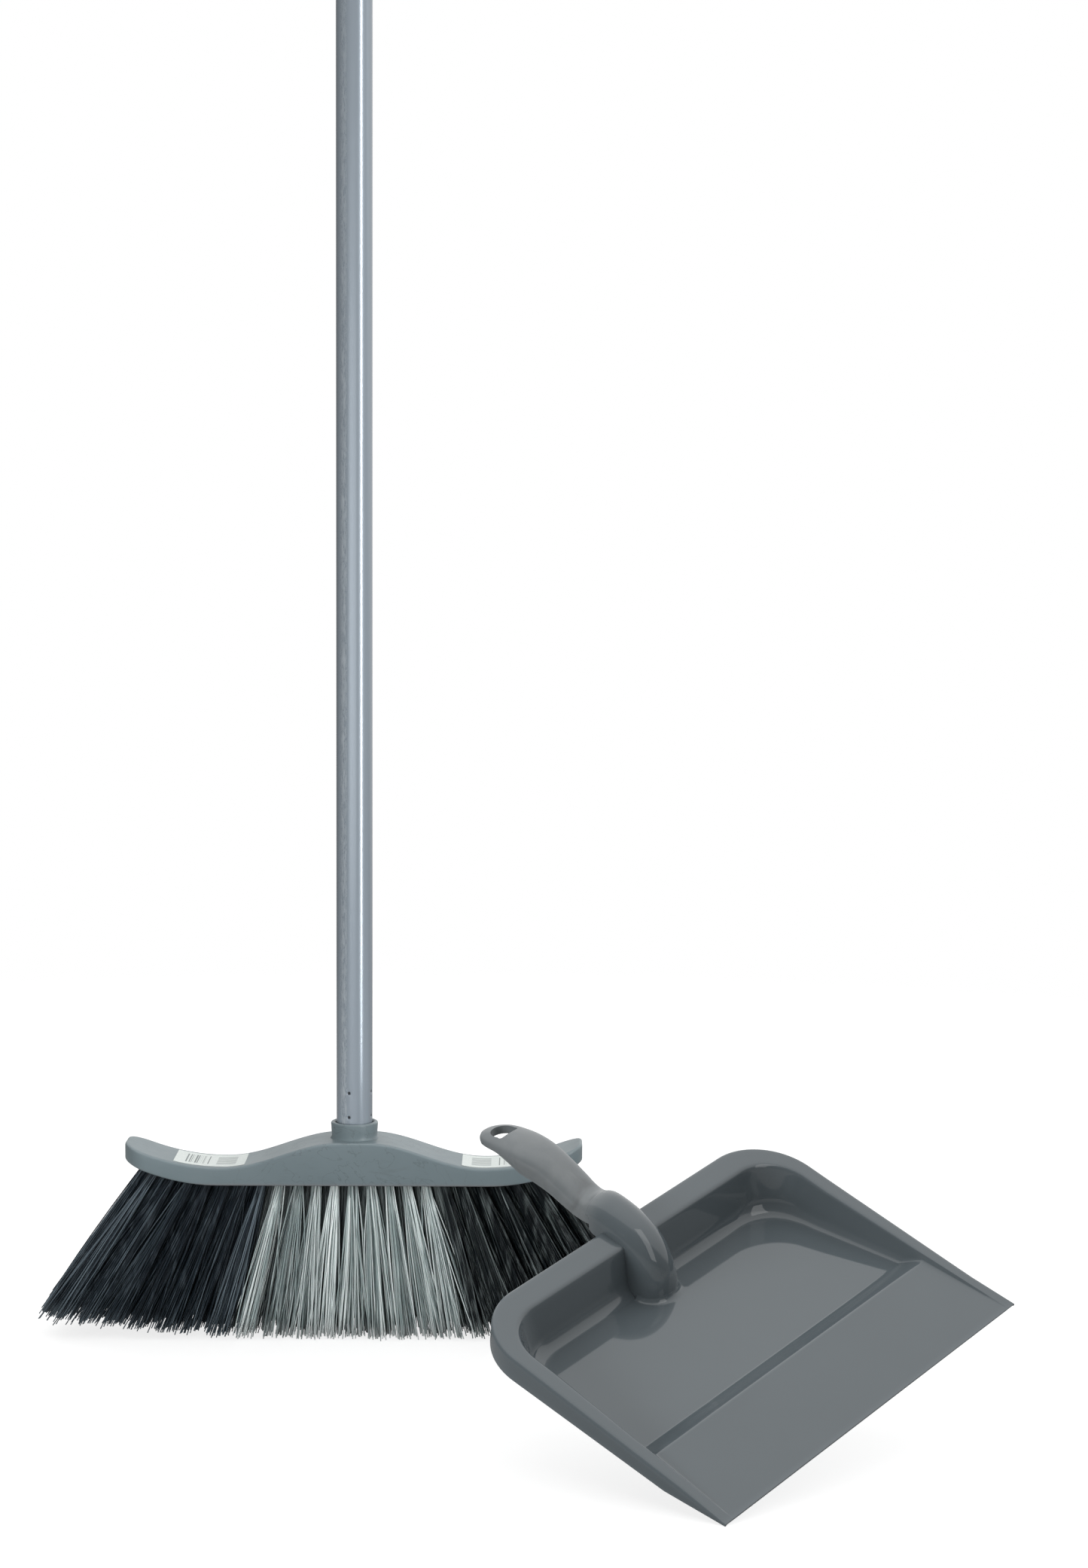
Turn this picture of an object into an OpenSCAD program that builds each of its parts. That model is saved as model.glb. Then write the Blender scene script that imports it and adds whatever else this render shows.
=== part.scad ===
// Upright broom with a 1.2 m screw-in pole, and the hand dustpan that goes with it.
// The origin is on the floor under the pole axis. +Z is up along the pole, +X runs
// along the broom head, and -Y is the side that faces the sweeper's dustpan.

/* [Head block] */
// Length of the block
head_len = 280; // [272:2:300]
// Depth of the block, front to back
head_depth = 42; // [42:1:50]
// Height of the flat underside above the floor
head_base = 92; // [80:1:100]
// Height of the middle of the block above its underside
head_mid_height = 26.5; // [25:0.5:30]
// Height of the two dips above the underside
head_dip_height = 11; // [11:0.5:14]
// Distance of each dip from the middle
head_dip_x = 80; // [70:1:85]
// Corner radius of the block in plan
head_corner_r = 14; // [8:1:18]
// Outer radius of the pole collar
collar_r = 14.4; // [13.5:0.1:16]
// Height of the collar above the middle of the block
collar_height = 10; // [8:0.5:14]

/* [Bristles] */
// Number of tuft rows, front to back
tuft_rows = 5; // [5:1:5]
// Distance between tufts in a row
tuft_pitch = 11; // [10.5:0.1:11.2]
// Distance between rows
row_pitch = 8; // [7.4:0.1:8.2]
// Radius of a tuft where it leaves the block
tuft_root_r = 2.5; // [2:0.1:2.8]
// Radius of a tuft at its tips
tuft_tip_r = 5.5; // [3.5:0.1:6]
// Depth of a tuft hole
tuft_hole_depth = 8.5; // [7:0.5:9]
// Half-width of the silver zone in the middle
silver_half = 50; // [40:1:70]
// How far the tips fan out sideways, as a multiple of the root position
fan_side = 1.48; // [1.2:0.01:1.55]
// How far the tips fan out to front and back
fan_depth = 1.75; // [1:0.05:2]
// Height of the outermost tips above the floor
tip_lift = 14; // [0:1:20]

/* [Pole] */
// Length of the pole tube
pole_len = 1200; // [900:10:1400]
// Outer radius of the pole tube
pole_r = 11; // [11:0.5:11]
// Wall thickness of the pole tube
pole_wall = 0.6; // [0.5:0.1:1]
// Radius of the hole in the hanging cap
cap_hole_r = 4.5; // [3:0.5:5.5]

/* [Dustpan] */
// Width of the pan
pan_w = 250; // [220:2:300]
// Length of the pan from lip to rear rim
pan_len = 182; // [160:2:220]
// Height of the rear rim
pan_height = 34; // [30:1:50]
// Wall thickness of the moulding
pan_wall = 2; // [1.6:0.1:2.5]
// Depth of the turned-down skirt at the back
skirt_depth = 14; // [10:1:20]
// Radius of the outer rear corners in plan
pan_corner_r = 38; // [30:1:45]
// Width of the flat rim at the back
rim_rear = 17; // [12:1:20]
// Width of the flat rim at the sides, beside the rear corners
rim_side = 11.5; // [9:0.5:15]
// Distance from the lip to the top of the ramp
ramp_len = 55; // [40:1:70]
// Height of the ramp above the pan's floor plane
ramp_height = 8; // [5:0.5:10]
// Length of the handle behind the rear rim
handle_len = 100; // [90:1:130]
// Rise of the handle's end above the rear rim
handle_rise = 14; // [10:1:30]

/* [Dustpan place] */
// Turn of the pan about the vertical
pan_yaw = 47.6; // [0:0.1:90]
// Lift of the pan's far side, turning on its near front corner
pan_tilt = 22; // [0:0.5:45]
// Near front corner of the pan, sideways from the pole
pan_corner_x = 206; // [200:1:300]
// Near front corner of the pan, in front of the pole
pan_corner_y = -384; // [-450:1:-380]

/* [Hidden] */
$fn = 64;

// Clearance that leaves a sliver of room where surfaces meet
touch = 0.02;
// Overlap that lets a cut run past a surface
past = 1;

// Block outline
curve_step = 4;
outline_half = head_len / 2 - 2;
plateau_half = 8;
head_flat_half = 82;
top_wing_curve = 0.0039;
base_wing_curve = 0.0042;
head_top = head_base + head_mid_height;
collar_foot = head_base + 2;
collar_top = head_top + collar_height;

// Tufts in a row: the even rows sit half a pitch over and hold one more
tufts_odd_row = 23;
tufts_even_row = 24;
outer_tip_x = head_len / 2 * fan_side - 10;

// Tuft holes and the flat wire that folds each tuft
hole_r = tuft_root_r + 0.1;
anchor_thick = 0.4;
anchor_height = 2;
anchor_from_hole_end = 1.2;
anchor_slot_gap = 0.1;
hole_mouth = 2;

// Pole thread and socket
tube_end = head_top + 2.5;
plug_bottom = head_base + 14;
thread_turns = 3;
thread_pitch = 4;
thread_core_r = 8.8;
thread_crest_r = 10;
thread_lead_in = 1.5;
thread_flank = 0.8;
thread_flat = 0.6;
thread_gap = 0.3;
tube_bore_r = pole_r - pole_wall;
plug_r = tube_bore_r - 0.05;
plug_len_in_tube = 34;
socket_r = pole_r + 0.7;
stake_heights = [14, 29];
stake_r = 2.2;
stake_depth = 0.35;
stakes_around = 4;
stake_turn = 15;

// Hanging cap
cap_plug_len = 22;
cap_brim_r = pole_r + 0.6;
cap_brim_height = 3;
cap_thick = 9;
cap_loop_r = 11;
cap_neck_width = 18;
cap_loop_height = 17;

// Paper labels on the dips
label_from = 66;
label_to = 110;
label_depth = 34;
label_thick = 0.2;

// Basin: its lip and ramp at the front, and its corners and walls at the back
lip_thick = 1.2;
lip_side = 6;
floor_thick = 2;
ramp_drop = 13;
skirt_start = 40;
opening_r = 26;
floor_corner_r = 16;
wall_lean = 10;

// Handle: half-widths of its neck, grip and end, and where the neck and grip sit
handle_neck_w = 11;
handle_w = 15;
handle_end_w = 13.5;
handle_flatness = 0.62;
handle_end_flatness = 0.5;
neck_back = 18;
neck_rise = 3;
grip_share = 0.56;
grip_rise = 13;
hollow_drop = 3;
hang_hole_r = 5.5;
hang_hole_back = 14;

// Boss that joins the handle to the basin's floor
boss_r = 12.5;
boss_foot_y = 152;
boss_shoulder_y = 160;
boss_shoulder_z = 22;
boss_over_rim = 4;
boss_in_neck = 2;

// Height of the block's upper face at x
function block_top(x) =
    let (a = abs(x), mid = (head_mid_height + head_dip_height) / 2,
         half = (head_mid_height - head_dip_height) / 2)
    a < plateau_half ? head_top
    : a < head_dip_x
        ? head_base + mid + half * cos(180 * (a - plateau_half) / (head_dip_x - plateau_half))
        : head_base + head_dip_height + top_wing_curve * pow(a - head_dip_x, 2);

// Height of the block's lower face at x
function block_base(x) = head_base + base_wing_curve * pow(max(0, abs(x) - head_flat_half), 2);

// Height of the bristle tips above the floor at x
function tip_height(x) = tip_lift * pow(x / outer_tip_x, 2);

// Position of each tuft's root on the block's underside
function tufts_in(row) = row % 2 == 1 ? tufts_odd_row : tufts_even_row;
function tuft_x(row, i) = (i - (tufts_in(row) - 1) / 2) * tuft_pitch;
function row_y(row) = (row - (tuft_rows + 1) / 2) * row_pitch;
function tuft_root(row, i) = [tuft_x(row, i), row_y(row), block_base(tuft_x(row, i))];

// Direction of a tuft, and where its middle ends, clear of the floor at its rim
function tuft_end(row, i) =
    let (root = tuft_root(row, i), x = root[0] * fan_side, y = root[1] * fan_depth,
         side = norm([x - root[0], y - root[1]]), lean = atan2(side, root[2]))
    [x, y, tip_height(x) + tuft_tip_r * sin(lean)];

function in_zone(x, zone) =
    zone == "silver" ? abs(x) < silver_half
    : zone == "left" ? x <= -silver_half
    : x >= silver_half;

// Outline of a row of thread ridges, grown by gap, for turning about the pole axis
function thread_outline(gap) = concat(
    [[0, plug_bottom - gap], [thread_core_r + gap, plug_bottom - gap]],
    [for (i = [0:thread_turns - 1])
        let (foot = plug_bottom + thread_lead_in + i * thread_pitch - gap,
             crest = foot + thread_flank,
             crest_end = crest + thread_flat + 2 * gap)
        each [[thread_core_r + gap, foot], [thread_crest_r + gap, crest],
              [thread_crest_r + gap, crest_end],
              [thread_core_r + gap, crest_end + thread_flank]]],
    [[thread_core_r + gap, tube_end], [0, tube_end]]);

// Turns the children's +Z from one point towards another
module aim(from, to) {
    d = to - from;
    translate(from)
        rotate([0, acos(d[2] / norm(d)), atan2(d[1], d[0])])
            children();
}

module rounded_plan(width, depth, r) {
    square([width - 2 * r, depth], center = true);
    square([width, depth - 2 * r], center = true);
    for (sx = [-1, 1], sy = [-1, 1])
        translate([sx * (width / 2 - r), sy * (depth / 2 - r)])
            circle(r = r);
}

module block_blank() {
    xs = [for (x = [-outline_half:curve_step:outline_half]) x];
    upper = [for (x = xs) [x, block_top(x)]];
    lower = [for (i = [len(xs) - 1:-1:0]) [xs[i], block_base(xs[i])]];
    end_x = head_len / 2 + past;
    right_end = [[end_x, block_top(end_x)], [end_x, block_base(end_x)]];
    left_end = [[-end_x, block_base(end_x)], [-end_x, block_top(end_x)]];
    intersection() {
        rotate([90, 0, 0])
            linear_extrude(height = head_depth + past, center = true)
                polygon(concat(upper, right_end, lower, left_end));
        linear_extrude(height = collar_top)
            rounded_plan(head_len, head_depth, head_corner_r);
    }
}

module tuft_holes(row) {
    for (i = [0:tufts_in(row) - 1])
        aim(tuft_root(row, i), tuft_end(row, i))
            translate([0, 0, -tuft_hole_depth])
                cylinder(r = hole_r, h = tuft_hole_depth + 3 * hole_mouth, $fn = 24);
}

module head_block() {
    color("slategray")
        difference() {
            union() {
                block_blank();
                translate([0, 0, collar_foot])
                    cylinder(r = collar_r, h = collar_top - collar_foot);
            }
            for (row = [1:tuft_rows])
                tuft_holes(row);
            rotate_extrude()
                polygon(thread_outline(thread_gap));
            translate([0, 0, tube_end - thread_gap])
                cylinder(r = socket_r, h = collar_top);
        }
}

module tuft(row, i) {
    root = tuft_root(row, i);
    end = tuft_end(row, i);
    len_free = norm(end - root);
    aim(root, end)
        difference() {
            union() {
                translate([0, 0, touch - tuft_hole_depth])
                    cylinder(r = tuft_root_r, h = tuft_hole_depth + hole_mouth - touch, $fn = 24);
                translate([0, 0, hole_mouth])
                    cylinder(r1 = tuft_root_r, r2 = tuft_tip_r, h = len_free - hole_mouth, $fn = 24);
            }
            translate([0, 0, anchor_from_hole_end + anchor_height / 2 - tuft_hole_depth])
                cube([anchor_thick + anchor_slot_gap, 3 * tuft_root_r,
                      anchor_height + anchor_slot_gap], center = true);
        }
}

module bristles(row, zone, shade) {
    color(shade)
        for (i = [0:tufts_in(row) - 1])
            if (in_zone(tuft_x(row, i), zone))
                tuft(row, i);
}

module tuft_anchors(row) {
    color("silver")
        for (i = [0:tufts_in(row) - 1])
            aim(tuft_root(row, i), tuft_end(row, i))
                translate([0, 0, anchor_from_hole_end + anchor_height / 2 - tuft_hole_depth])
                    cube([anchor_thick, 2 * (hole_r - touch), anchor_height], center = true);
}

module label(side) {
    xs = [for (x = [label_from:curve_step:label_to]) side * x];
    lower = [for (x = xs) [x, block_top(x) + touch]];
    upper = [for (i = [len(xs) - 1:-1:0]) [xs[i], block_top(xs[i]) + touch + label_thick]];
    color("white")
        rotate([90, 0, 0])
            linear_extrude(height = label_depth, center = true)
                polygon(concat(lower, upper));
}

module pole_tube() {
    color("lightslategray")
        difference() {
            translate([0, 0, tube_end])
                cylinder(r = pole_r, h = pole_len);
            translate([0, 0, tube_end - past])
                cylinder(r = tube_bore_r, h = pole_len + 2 * past);
            for (z = stake_heights, i = [0:stakes_around - 1])
                rotate([0, 0, i * 360 / stakes_around - 90 - stake_turn])
                    translate([pole_r + stake_r - stake_depth, 0, head_top + z])
                        sphere(r = stake_r, $fn = 24);
        }
}

module pole_thread_plug() {
    color("dimgray") {
        rotate_extrude()
            polygon(thread_outline(0));
        translate([0, 0, tube_end])
            cylinder(r = plug_r, h = plug_len_in_tube);
    }
}

module pole_hanging_cap() {
    tube_top = tube_end + pole_len;
    loop_z = tube_top + cap_loop_height;
    color("dimgray")
        difference() {
            union() {
                translate([0, 0, tube_top - cap_plug_len])
                    cylinder(r = plug_r, h = cap_plug_len);
                translate([0, 0, tube_top + touch])
                    cylinder(r = cap_brim_r, h = cap_brim_height);
                translate([0, 0, loop_z])
                    rotate([90, 0, 0])
                        cylinder(r = cap_loop_r, h = cap_thick, center = true);
                translate([0, 0, (tube_top + loop_z) / 2])
                    cube([cap_neck_width, cap_thick, cap_loop_height], center = true);
            }
            translate([0, 0, loop_z])
                rotate([90, 0, 0])
                    cylinder(r = cap_hole_r, h = cap_thick + 2 * past, center = true);
        }
}

// Side view of a solid that runs across the pan, from points in lip-to-rear and height
module across_pan(points) {
    rotate([90, 0, 90])
        linear_extrude(height = pan_w + 4 * past, center = true)
            polygon(points);
}

// Plan of the pan, smaller all round by inset
module pan_plan(inset) {
    r = pan_corner_r - inset;
    half = pan_w / 2 - inset;
    translate([-half, 0])
        square([2 * half, pan_len - pan_corner_r]);
    translate([r - half, 0])
        square([2 * (half - r), pan_len - inset]);
    for (s = [-1, 1])
        translate([s * (half - r), pan_len - pan_corner_r])
            circle(r = r);
}

// The flat rim and the skirt that turns down from it, before the basin is cut through
module rim_and_skirt() {
    difference() {
        intersection() {
            linear_extrude(height = pan_height)
                pan_plan(0);
            across_pan([[0, 0], [skirt_start, 0], [pan_len, pan_height - skirt_depth],
                        [pan_len, pan_height], [0, lip_thick]]);
        }
        intersection() {
            translate([0, 0, -past])
                linear_extrude(height = pan_height)
                    pan_plan(pan_wall);
            across_pan([[-past, -past], [pan_len, -past], [pan_len, pan_height - pan_wall],
                        [-past, lip_thick - pan_wall]]);
        }
    }
}

// The basin's form: its mouth at the rim and its smaller floor, grown by the wall
module basin(grow, floor_z) {
    rear = pan_len - rim_rear;
    mouth_x = pan_w / 2 - rim_side - opening_r;
    floor_x = pan_w / 2 - rim_side - wall_lean - floor_corner_r;
    hull()
        for (s = [-1, 1]) {
            translate([s * mouth_x, rear - opening_r, pan_height])
                cylinder(r = opening_r + grow, h = past, $fn = 32);
            translate([s * floor_x, rear - wall_lean - floor_corner_r, floor_z])
                cylinder(r = floor_corner_r + grow, h = past, $fn = 32);
            translate([s * (pan_w / 2 - lip_side + grow / 2), -grow / 2, floor_z])
                cylinder(r = grow / 2 + 0.1, h = lip_thick + past, $fn = 16);
        }
}

// The slope behind the lip, hollow underneath
module ramp() {
    across_pan([[0, 0], [0, lip_thick], [ramp_len, ramp_height],
                [ramp_len + ramp_drop, floor_thick], [ramp_len + ramp_drop, 0],
                [ramp_len - 1, ramp_height - pan_wall], [ramp_len / 4, 0]]);
}

// All the space below the rim's upper face
module under_rim() {
    across_pan([[0, 0], [pan_len, 0], [pan_len, pan_height], [0, lip_thick]]);
}

// The handle's grip, smaller all round by shrink
module grip(shrink) {
    hull() {
        translate([0, pan_len + neck_back, pan_height + neck_rise])
            scale([1, 1, handle_flatness])
                sphere(r = handle_neck_w - shrink, $fn = 32);
        translate([0, pan_len + grip_share * handle_len, pan_height + grip_rise])
            scale([1, 1, handle_flatness])
                sphere(r = handle_w - shrink, $fn = 32);
        translate([0, pan_len + handle_len - handle_end_w, pan_height + handle_rise])
            scale([1, 1, handle_end_flatness])
                sphere(r = handle_end_w - shrink, $fn = 32);
    }
}

// The half-round boss that carries the handle over the rim and down to the basin's floor
module handle_boss() {
    hull() {
        translate([0, pan_len + neck_back - boss_in_neck, pan_height + neck_rise])
            scale([1, 1, handle_flatness])
                sphere(r = handle_neck_w, $fn = 32);
        translate([0, pan_len - boss_over_rim, pan_height])
            sphere(r = boss_r, $fn = 32);
        translate([0, boss_shoulder_y, boss_shoulder_z])
            sphere(r = boss_r, $fn = 32);
        translate([0, boss_foot_y, floor_thick - 1])
            cylinder(r = boss_r, h = 1, $fn = 32);
    }
}

module pan_moulding() {
    difference() {
        union() {
            difference() {
                union() {
                    rim_and_skirt();
                    intersection() {
                        basin(pan_wall, 0);
                        under_rim();
                    }
                }
                basin(0, floor_thick);
            }
            intersection() {
                ramp();
                basin(pan_wall, 0);
            }
            grip(0);
            handle_boss();
        }
        translate([0, 0, -hollow_drop])
            grip(pan_wall);
        translate([0, pan_len + handle_len - hang_hole_back, pan_height])
            cylinder(r = hang_hole_r, h = pan_height);
    }
}

module dustpan() {
    color("dimgray")
        translate([pan_corner_x, pan_corner_y, 0])
            rotate([pan_tilt, 0, 0])
                rotate([0, 0, pan_yaw])
                    translate([pan_w / 2, 0, 0])
                        pan_moulding();
}

head_block();
bristles(1, "left", "#20242a");  // bristles_black_left_row_1
bristles(2, "left", "#20242a");  // bristles_black_left_row_2
bristles(3, "left", "#20242a");  // bristles_black_left_row_3
bristles(4, "left", "#20242a");  // bristles_black_left_row_4
bristles(5, "left", "#20242a");  // bristles_black_left_row_5
bristles(1, "silver", "#9aa3a6");  // bristles_silver_row_1
bristles(2, "silver", "#9aa3a6");  // bristles_silver_row_2
bristles(3, "silver", "#9aa3a6");  // bristles_silver_row_3
bristles(4, "silver", "#9aa3a6");  // bristles_silver_row_4
bristles(5, "silver", "#9aa3a6");  // bristles_silver_row_5
bristles(1, "right", "#20242a");  // bristles_black_right_row_1
bristles(2, "right", "#20242a");  // bristles_black_right_row_2
bristles(3, "right", "#20242a");  // bristles_black_right_row_3
bristles(4, "right", "#20242a");  // bristles_black_right_row_4
bristles(5, "right", "#20242a");  // bristles_black_right_row_5
tuft_anchors(1);  // tuft_anchors_row_1
tuft_anchors(2);  // tuft_anchors_row_2
tuft_anchors(3);  // tuft_anchors_row_3
tuft_anchors(4);  // tuft_anchors_row_4
tuft_anchors(5);  // tuft_anchors_row_5
label(-1);  // label_left
label(1);  // label_right
pole_tube();
pole_thread_plug();
pole_hanging_cap();
dustpan();
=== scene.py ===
"""Looks for the upright broom and its hand dustpan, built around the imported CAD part.

Shapes are designed in millimetres in the part's frame (origin on the floor under the
pole, +Z up the pole, +X along the head, -Y to the front) and turned into metres when
a mesh is made.
"""

import math

import bmesh
import bpy
import numpy as np
from mathutils import Matrix, Vector


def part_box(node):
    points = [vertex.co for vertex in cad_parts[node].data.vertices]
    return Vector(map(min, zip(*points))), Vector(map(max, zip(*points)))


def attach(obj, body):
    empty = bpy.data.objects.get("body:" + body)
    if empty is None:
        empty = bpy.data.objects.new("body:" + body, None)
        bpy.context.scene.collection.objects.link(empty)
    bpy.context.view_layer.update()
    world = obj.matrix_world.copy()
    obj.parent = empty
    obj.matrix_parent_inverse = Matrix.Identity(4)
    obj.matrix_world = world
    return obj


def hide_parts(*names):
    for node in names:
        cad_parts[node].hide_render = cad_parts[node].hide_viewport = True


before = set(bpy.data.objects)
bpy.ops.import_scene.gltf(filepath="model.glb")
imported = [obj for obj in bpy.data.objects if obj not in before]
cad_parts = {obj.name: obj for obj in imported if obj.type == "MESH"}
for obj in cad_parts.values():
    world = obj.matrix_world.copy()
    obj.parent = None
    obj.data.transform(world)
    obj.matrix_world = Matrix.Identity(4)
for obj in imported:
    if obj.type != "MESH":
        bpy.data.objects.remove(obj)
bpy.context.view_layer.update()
MM = 0.001


# ---------------- measures from the frame

def box_mm(node):
    """Lowest and highest corner of a CAD node, in millimetres."""
    low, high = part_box(node)
    return np.array(low) / MM, np.array(high) / MM


head_low, head_high = box_mm("head_block")
tube_low, tube_high = box_mm("pole_tube")
label_low, label_high = box_mm("label_right")

HEAD_HALF = head_high[0]
HEAD_HALF_DEPTH = head_high[1]
HEAD_BASE = head_low[2]
COLLAR_TOP = head_high[2]
TUBE_END = tube_low[2]
TUBE_TOP = tube_high[2]
POLE_R = tube_high[0]

# Broom block
COLLAR_HEIGHT = 10
HEAD_TOP = COLLAR_TOP - COLLAR_HEIGHT
DIP_HEIGHT = 11
DIP_X = 80
PLATEAU_HALF = 8
WING_START = 82
TOP_WING_CURVE = 0.0039
BASE_WING_CURVE = 0.0042
HEAD_CORNER_R = 14
COLLAR_R = 14.4
SOCKET_R = 11.7
TOP_EDGE_R = 2.0
BASE_EDGE_R = 1.2

# Tufts
ROWS = 5
TUFT_PITCH = 11
ROW_PITCH = 8
FAN_SIDE = 1.48
FAN_DEPTH = 1.75
TIP_LIFT = 14
SILVER_HALF = 50
TUFT_ROOT_R = 2.6

# Filaments: how many in a tuft, how they spread at the tips, and how they are drawn
FILAMENTS = 58
SEGMENTS = 6
SIDES = 4
ROOT_R = 0.37
TIP_R = 0.30
ROOT_SUNK = 1.5
TUFT_SCATTER = (1.5, 0.7)
TIP_SPREAD = 7.0
WISPS = 14
WISP_SPREAD = 2.6
STRAY_SHARE = 0.09
STRAY_SPREAD = (9.0, 5.0)
FILAMENT_BOW = 1.2
TIPS_HALF_WIDTH = 192.5
TIPS_HALF_DEPTH = 38

# Dustpan, in its own frame: x across, y from lip to rear, z up
PAN_W = 250
PAN_LEN = 182
PAN_HEIGHT = 34
PAN_CORNER_R = 38
PAN_WALL = 2
LIP_WALL_SHARE = 0.5
RIM_REAR = 17
RIM_SIDE = 11.5
SKIRT_DEPTH = 14
SKIRT_START = 40
SKIRT_DRAFT = 0.6
OUTER_EDGE_R = 2.6
INNER_EDGE_R = 2.4
LIP_THICK = 1.2
LIP_SIDE = 6
RAMP_LEN = 55
RAMP_HEIGHT = 8
RAMP_DROP = 13
OPENING_R = 26
FLOOR_R = 30
CORNER_START = 124
REAR_STEPS = 56
FLOOR_Z = 2
WALL_LEAN = 10
PAN_YAW = 47.6
PAN_TILT = 22
PAN_CORNER = (206, -384)


# ---------------- mesh helpers

def make_piece(name, verts, faces, smooth_angle=35):
    """A mesh object from vertices in millimetres, with smooth shading up to an angle."""
    mesh = bpy.data.meshes.new(name)
    mesh.from_pydata((np.asarray(verts, float) * MM).tolist(), [], faces)
    mesh.validate()
    obj = bpy.data.objects.new(name, mesh)
    bpy.context.scene.collection.objects.link(obj)
    tidy_mesh(obj, smooth_angle)
    return obj


def tidy_mesh(obj, smooth_angle=35):
    """Merges doubled points, faces the normals outwards and sets the smooth shading."""
    bm = bmesh.new()
    bm.from_mesh(obj.data)
    bmesh.ops.remove_doubles(bm, verts=bm.verts, dist=0.001 * MM)
    bmesh.ops.dissolve_degenerate(bm, edges=bm.edges, dist=0.001 * MM)
    torn = [v for v in bm.verts if not v.is_manifold]
    bmesh.ops.remove_doubles(bm, verts=torn, dist=0.05 * MM)
    loose = [v for v in bm.verts if not v.link_faces]
    bmesh.ops.delete(bm, geom=loose, context="VERTS")
    bmesh.ops.recalc_face_normals(bm, faces=bm.faces)
    bm.to_mesh(obj.data)
    bm.free()
    obj.data.shade_smooth()
    obj.data.set_sharp_from_angle(angle=math.radians(smooth_angle))


def grid_faces(rows, columns, closed=False, start=0):
    """Quads between neighbouring rows of points; closed joins each row's ends."""
    faces = []
    last = columns if closed else columns - 1
    for i in range(rows - 1):
        for j in range(last):
            k = (j + 1) % columns
            a = start + i * columns
            faces.append((a + j, a + k, a + columns + k, a + columns + j))
    return faces


def circle(radius, z, around):
    """A level ring of points; the radius may be one number or one for each point."""
    angles = np.linspace(0, 2 * math.pi, around, endpoint=False)
    return np.column_stack([radius * np.cos(angles), radius * np.sin(angles), np.full(around, z)])


def lathe(name, profile, around=96):
    """Turns a closed outline of (radius, z) points about the vertical axis."""
    rings = [circle(r, z, around) for r, z in profile + profile[:1]]
    return make_piece(name, np.vstack(rings), grid_faces(len(rings), around, closed=True))


def loft(name, rings):
    """A closed solid through rings of equal point counts, with both ends capped."""
    count = len(rings[0])
    faces = grid_faces(len(rings), count, closed=True)
    faces.append(tuple(range(count)))
    faces.append(tuple((len(rings) - 1) * count + i for i in range(count)))
    return make_piece(name, np.vstack(rings), faces)


def combine(obj, other, operation):
    """Boolean of two solids; the second one is used up."""
    modifier = obj.modifiers.new("combine", "BOOLEAN")
    modifier.operation = operation
    modifier.solver = "EXACT"
    modifier.object = other
    apply_modifiers(obj)
    bpy.data.objects.remove(other)


def apply_modifiers(obj):
    depsgraph = bpy.context.evaluated_depsgraph_get()
    mesh = bpy.data.meshes.new_from_object(obj.evaluated_get(depsgraph))
    obj.modifiers.clear()
    obj.data = mesh


def bezier(points, steps):
    """Points along a cubic or quadratic Bezier curve, both ends included."""
    points = np.asarray(points, float)
    degree = len(points) - 1
    t = np.linspace(0, 1, steps + 1)[:, None]
    total = np.zeros((steps + 1, points.shape[1]))
    for i, p in enumerate(points):
        total += math.comb(degree, i) * (1 - t) ** (degree - i) * t ** i * p
    return total


def store(mesh, name, values):
    """Keeps one number for each point of a mesh, for its material to read."""
    attribute = mesh.attributes.new(name, "FLOAT", "POINT")
    attribute.data.foreach_set("value", np.asarray(values, np.float32))


def smoothstep(x):
    x = np.clip(x, 0, 1)
    return x * x * (3 - 2 * x)


# ---------------- materials

class Nodes:
    """A tree of shader nodes built step by step; most methods return an output socket."""

    def __init__(self, tree):
        self.tree = tree

    def node(self, kind, **inputs):
        node = self.tree.nodes.new("ShaderNode" + kind)
        self.fill(node, inputs)
        return node

    def fill(self, node, inputs):
        """Sets or links inputs by name, with _ for a space; None leaves one as it is."""
        for name, value in inputs.items():
            if value is not None:
                self.put(node.inputs[name.replace("_", " ")], value)

    def put(self, socket, value):
        if isinstance(value, bpy.types.NodeSocket):
            self.tree.links.new(value, socket)
        else:
            socket.default_value = value

    def ramp(self, value, stops):
        """Maps a value to colours (3 numbers) or greys (1 number) at given places."""
        node = self.node("ValToRGB", Fac=value)
        elements = node.color_ramp.elements
        while len(elements) < len(stops):
            elements.new(0.5)
        for element, (place, colour) in zip(elements, stops):
            element.position = place
            grey = isinstance(colour, (int, float))
            element.color = (colour,) * 3 + (1,) if grey else tuple(colour) + (1,)
        return node.outputs["Color"]

    def math(self, operation, a, b=0.0):
        node = self.node("Math")
        node.operation = operation
        self.put(node.inputs[0], a)
        self.put(node.inputs[1], b)
        return node.outputs[0]

    def plus(self, a, b):
        return self.math("ADD", a, b)

    def times(self, a, b):
        return self.math("MULTIPLY", a, b)

    def absolute(self, a):
        return self.math("ABSOLUTE", a)

    def vector(self, operation, a, b=(0, 0, 0)):
        """A length or a dot product."""
        node = self.node("VectorMath")
        node.operation = operation
        self.put(node.inputs[0], a)
        self.put(node.inputs[1], b)
        return node.outputs["Value"]

    def mix(self, factor, a, b):
        """A mix of two colours, each a socket or 3 numbers."""
        node = self.node("Mix")
        node.data_type = "RGBA"
        self.put(node.inputs["Factor"], factor)
        for name, value in (("A", a), ("B", b)):
            if isinstance(value, tuple):
                value += (1,)
            self.put(node.inputs[name], value)
        return node.outputs["Result"]

    def blend(self, factor, first, second):
        """A mix of two shaders."""
        node = self.node("MixShader")
        for socket, value in zip(node.inputs, (factor, first, second)):
            self.put(socket, value)
        return node.outputs["Shader"]

    def range(self, value, low, high, to_low=0.0, to_high=1.0):
        node = self.node("MapRange", Value=value, From_Min=low, From_Max=high,
                         To_Min=to_low, To_Max=to_high)
        return node.outputs["Result"]


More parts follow.
